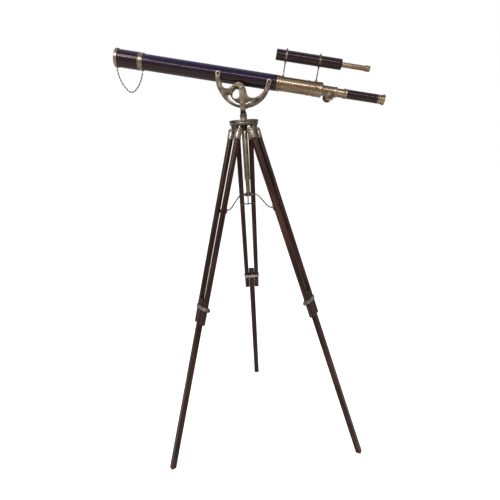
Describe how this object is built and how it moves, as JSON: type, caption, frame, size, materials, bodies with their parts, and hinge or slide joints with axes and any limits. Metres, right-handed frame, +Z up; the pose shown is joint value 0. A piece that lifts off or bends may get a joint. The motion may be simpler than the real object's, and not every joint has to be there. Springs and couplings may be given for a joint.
{
  "type": "refracting telescope on an alt azimuth tripod mount",
  "caption": "Leather-wrapped brass refractor with finder on a fork and arc-slot cradle, standing on a folding wooden tripod with a wire spreader.",
  "frame": {"origin": "middle of the footprint on the floor", "axes": "+Z up; +X along the barrel towards the eyepiece; -Y towards the side seen in the picture"},
  "size_m": [0.9778, 0.6994, 1.5982],
  "materials": {
    "antique_brass": "antiqued, satin",
    "polished_brass": "antiqued, brushed bright",
    "leather_wrap": "glossy dark brown wrap",
    "dark_wood": "stained and varnished",
    "lens_glass": "polished, coated",
    "chain_metal": "dark nickel"
  },
  "bodies": {
    "tripod_head": {"head_base": "antique_brass", "head_top_plate": "antique_brass", "azimuth_collar": "antique_brass", "centre_rod": "antique_brass"},
    "azimuth_fork": {"azimuth_post": "antique_brass", "pivot_bolt": "antique_brass", "lock_bolt": "antique_brass"},
    "telescope": {"main_tube": "leather_wrap", "hood_band": "polished_brass", "dew_hood": "leather_wrap", "objective_cell": "antique_brass", "objective_lens": "lens_glass", "rear_sleeve": "polished_brass", "cradle_plate_near": "antique_brass", "cradle_plate_far": "antique_brass", "focuser_housing": "polished_brass", "finder_tube": "leather_wrap", "finder_lens": "lens_glass", "finder_ring_front": "antique_brass", "finder_ring_rear": "antique_brass", "cap_chain": "chain_metal"},
    "cap": {"lens_cap": "antique_brass"},
    "focus_pinion": {"pinion_shaft": "chain_metal", "focus_knob_near": "antique_brass", "focus_knob_far": "antique_brass"},
    "focus_tube": {"draw_tube": "polished_brass"},
    "eyepiece": {"eyepiece_tube": "leather_wrap", "eye_lens": "lens_glass", "eyecup": "polished_brass"},
    "finder_eyepiece": {"finder_draw_tube": "polished_brass"},
    "lock_nut": {"wing_nut": "antique_brass"},
    "spreader": {"spreader_hub": "antique_brass"},
    "leg_1": {"leg_1_ferrule_a": "antique_brass", "leg_1_ferrule_b": "antique_brass", "leg_1_rail_a": "dark_wood", "leg_1_rail_b": "dark_wood", "leg_1_crossbar": "antique_brass", "leg_1_clamp_band": "antique_brass"},
    "leg_1_foot": {"leg_1_lower": "dark_wood"},
    "leg_1_screw": {"leg_1_clamp_screw": "antique_brass"},
    "arm_1": {"spreader_arm_1": "antique_brass"},
    "leg_2": {"leg_2_ferrule_a": "antique_brass", "leg_2_ferrule_b": "antique_brass", "leg_2_rail_a": "dark_wood", "leg_2_rail_b": "dark_wood", "leg_2_crossbar": "antique_brass", "leg_2_clamp_band": "antique_brass"},
    "leg_2_foot": {"leg_2_lower": "dark_wood"},
    "leg_2_screw": {"leg_2_clamp_screw": "antique_brass"},
    "arm_2": {"spreader_arm_2": "antique_brass"},
    "leg_3": {"leg_3_ferrule_a": "antique_brass", "leg_3_ferrule_b": "antique_brass", "leg_3_rail_a": "dark_wood", "leg_3_rail_b": "dark_wood", "leg_3_crossbar": "antique_brass", "leg_3_clamp_band": "antique_brass"},
    "leg_3_foot": {"leg_3_lower": "dark_wood"},
    "leg_3_screw": {"leg_3_clamp_screw": "antique_brass"},
    "arm_3": {"spreader_arm_3": "antique_brass"}
  },
  "joints": [
    {"name": "azimuth_turn", "type": "hinge", "parent": "tripod_head", "child": "azimuth_fork", "pos_m": [-0.03407, -0.09522, 1.31406], "axis": [0, 0, 1], "continuous": true},
    {"name": "altitude_tilt", "type": "hinge", "parent": "azimuth_fork", "child": "telescope", "pos_m": [-0.03407, -0.09522, 1.43066], "axis": [0, 1, 0], "range_deg": [-50, 26]},
    {"name": "cap_pull", "type": "slide", "parent": "telescope", "child": "cap", "axis": [-0.9781, 0, 0.2079], "range_m": [0, 0.02]},
    {"name": "focus_turn", "type": "hinge", "parent": "telescope", "child": "focus_pinion", "pos_m": [0.28163, -0.09522, 1.38401], "axis": [0, 1, 0], "range_deg": [-300, 600]},
    {"name": "focus_slide", "type": "slide", "parent": "telescope", "child": "focus_tube", "axis": [0.9781, 0, -0.2079], "range_m": [-0.021, 0.042]},
    {"name": "eyepiece_pull", "type": "slide", "parent": "focus_tube", "child": "eyepiece", "axis": [0.9781, 0, -0.2079], "range_m": [0, 0.02]},
    {"name": "finder_focus", "type": "slide", "parent": "telescope", "child": "finder_eyepiece", "axis": [0.9781, 0, -0.2079], "range_m": [-0.02, 0.02]},
    {"name": "lock_nut_turn", "type": "hinge", "parent": "azimuth_fork", "child": "lock_nut", "pos_m": [-0.03407, -0.09522, 1.37816], "axis": [0, 1, 0], "range_deg": [0, 180]},
    {"name": "leg_1_fold", "type": "hinge", "parent": "tripod_head", "child": "leg_1", "pos_m": [-0.06743, -0.1173, 1.28506], "axis": [0.5519, -0.8339, 0], "range_deg": [0, 17]},
    {"name": "leg_1_slide", "type": "slide", "parent": "leg_1", "child": "leg_1_foot", "axis": [0.245, 0.1622, 0.9559], "range_m": [0, 0.3]},
    {"name": "leg_1_screw_turn", "type": "hinge", "parent": "leg_1", "child": "leg_1_screw", "pos_m": [-0.20895, -0.26493, 0.63603], "axis": [0.5519, -0.8339, 0], "range_deg": [0, 180]},
    {"name": "leg_2_fold", "type": "hinge", "parent": "tripod_head", "child": "leg_2", "pos_m": [0.00172, -0.11307, 1.28506], "axis": [0.4462, 0.8949, 0], "range_deg": [0, 17]},
    {"name": "leg_2_slide", "type": "slide", "parent": "leg_2", "child": "leg_2_foot", "axis": [-0.2629, 0.1311, 0.9559], "range_m": [0, 0.3]},
    {"name": "leg_2_screw_turn", "type": "hinge", "parent": "leg_2", "child": "leg_2_screw", "pos_m": [0.16018, -0.24236, 0.63603], "axis": [-0.4462, -0.8949, 0], "range_deg": [0, 180]},
    {"name": "leg_3_fold", "type": "hinge", "parent": "tripod_head", "child": "leg_3", "pos_m": [-0.03652, -0.0553, 1.28506], "axis": [-0.9981, -0.061, 0], "range_deg": [0, 17]},
    {"name": "leg_3_slide", "type": "slide", "parent": "leg_3", "child": "leg_3_foot", "axis": [0.0179, -0.2933, 0.9559], "range_m": [0, 0.3]},
    {"name": "leg_3_screw_turn", "type": "hinge", "parent": "leg_3", "child": "leg_3_screw", "pos_m": [-0.05132, 0.18676, 0.64925], "axis": [-0.0584, 0.9541, 0.2938], "range_deg": [0, 180]},
    {"name": "hub_slide", "type": "slide", "parent": "tripod_head", "child": "spreader", "axis": [0, 0, 1], "range_m": [0, 0.0465]},
    {"name": "arm_1_swing", "type": "hinge", "parent": "spreader", "child": "arm_1", "pos_m": [-0.04867, -0.10488, 1.04556], "axis": [0.5519, -0.8339, 0], "range_deg": [0, 57.5]},
    {"name": "arm_2_swing", "type": "hinge", "parent": "spreader", "child": "arm_2", "pos_m": [-0.01841, -0.10303, 1.04556], "axis": [0.4462, 0.8949, 0], "range_deg": [0, 57.5]},
    {"name": "arm_3_swing", "type": "hinge", "parent": "spreader", "child": "arm_3", "pos_m": [-0.03514, -0.07776, 1.04556], "axis": [-0.9981, -0.061, 0], "range_deg": [0, 57.5]}
  ],
  "couplings": [
    {"joint": "focus_slide", "follows": "focus_turn", "m_per_rad": 0.004},
    {"joint": "leg_2_fold", "follows": "leg_1_fold", "ratio": 1},
    {"joint": "leg_3_fold", "follows": "leg_1_fold", "ratio": 1},
    {"joint": "hub_slide", "follows": "leg_1_fold", "m_per_rad": 0.15504},
    {"joint": "arm_1_swing", "follows": "leg_1_fold", "ratio": 3.3529},
    {"joint": "arm_2_swing", "follows": "leg_1_fold", "ratio": 3.3529},
    {"joint": "arm_3_swing", "follows": "leg_1_fold", "ratio": 3.3529}
  ]
}
